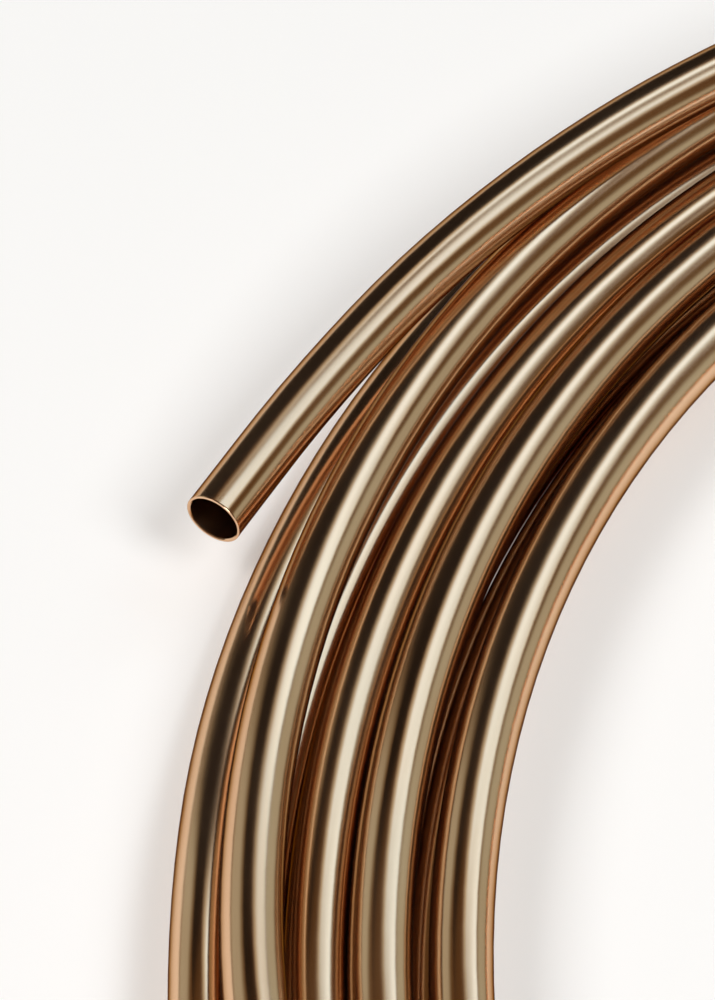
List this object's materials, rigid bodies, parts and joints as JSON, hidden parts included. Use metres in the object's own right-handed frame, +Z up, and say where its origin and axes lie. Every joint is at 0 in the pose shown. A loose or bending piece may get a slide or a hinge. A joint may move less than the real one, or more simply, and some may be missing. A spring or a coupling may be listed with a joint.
{
  "type": "copper tube coil",
  "caption": "Length of bright soft copper tube wound into a flat, open-centred coil, with its square-cut, deburred free end springing clear of the outer turns.",
  "frame": {"origin": "on the coil's axis, at the level of the floor that the lower layer of turns lies on", "axes": "+Z up along the coil's axis, out of the top of the coil; X and Y lie in the floor plane, +X to the right and +Y away in the picture; the free end is at the -X +Y side; seen from above the tube runs counter-clockwise from its start in the lower layer to its free end on top"},
  "size_m": [0.9763, 0.9976, 0.0548],
  "materials": {
    "copper": null
  },
  "bodies": {
    "root": {"copper_tube": "copper"}
  },
  "joints": []
}
